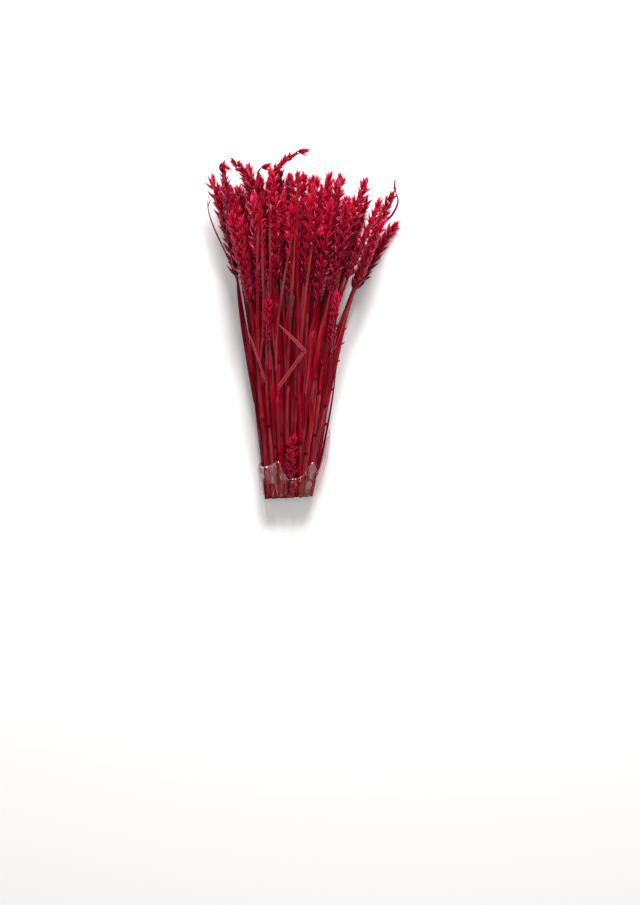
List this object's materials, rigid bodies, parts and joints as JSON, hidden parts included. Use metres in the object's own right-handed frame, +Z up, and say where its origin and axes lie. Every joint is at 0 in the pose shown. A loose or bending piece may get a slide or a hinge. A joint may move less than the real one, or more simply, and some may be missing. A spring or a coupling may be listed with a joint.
{
  "type": "wheat ear",
  "caption": "Cut bunch of dyed dried wheat ears on straws, lying down, with the cut ends held in a sleeve of clear film.",
  "frame": {"origin": "middle of the underside of the bunch's box, where it lies on the table", "axes": "+Y from the cut ends to the ears, +Z up from the table, +X to the right seen from above with the ears away"},
  "size_m": [0.164, 0.294, 0.0754],
  "materials": {
    "dyed_straw": "dried straw and chaff dyed crimson, satin with glossy scales",
    "clear_film": "thin clear crinkled film"
  },
  "bodies": {
    "root": {"stalk_0_0": "dyed_straw", "stalk_0_1": "dyed_straw", "stalk_0_2": "dyed_straw", "stalk_0_3": "dyed_straw", "stalk_0_4": "dyed_straw", "stalk_0_5": "dyed_straw", "stalk_0_6": "dyed_straw", "stalk_0_7": "dyed_straw", "stalk_0_8": "dyed_straw", "stalk_0_9": "dyed_straw", "stalk_1_0": "dyed_straw", "stalk_1_1": "dyed_straw", "stalk_1_2": "dyed_straw", "stalk_1_3": "dyed_straw", "stalk_1_4": "dyed_straw", "stalk_1_5": "dyed_straw", "stalk_1_6": "dyed_straw", "stalk_1_7": "dyed_straw", "stalk_1_8": "dyed_straw", "stalk_2_0": "dyed_straw", "stalk_2_1": "dyed_straw", "stalk_2_2": "dyed_straw", "stalk_2_3": "dyed_straw", "stalk_2_4": "dyed_straw", "stalk_2_5": "dyed_straw", "stalk_2_6": "dyed_straw", "stalk_2_7": "dyed_straw", "stalk_2_8": "dyed_straw", "stalk_2_9": "dyed_straw", "stalk_3_0": "dyed_straw", "stalk_3_1": "dyed_straw", "stalk_3_2": "dyed_straw", "stalk_3_3": "dyed_straw", "stalk_3_4": "dyed_straw", "stalk_3_5": "dyed_straw", "stalk_3_6": "dyed_straw", "stalk_3_7": "dyed_straw", "stalk_3_8": "dyed_straw", "stalk_4_0": "dyed_straw", "stalk_4_1": "dyed_straw", "stalk_4_2": "dyed_straw", "stalk_4_3": "dyed_straw", "stalk_4_4": "dyed_straw", "stalk_4_5": "dyed_straw", "stalk_4_6": "dyed_straw", "stalk_4_7": "dyed_straw", "short_stalk_left": "dyed_straw", "short_stalk_right": "dyed_straw", "short_stalk_front": "dyed_straw", "bare_straw_right": "dyed_straw", "bare_straw_middle": "dyed_straw", "bare_straw_left": "dyed_straw", "film_sleeve": "clear_film"}
  },
  "joints": []
}
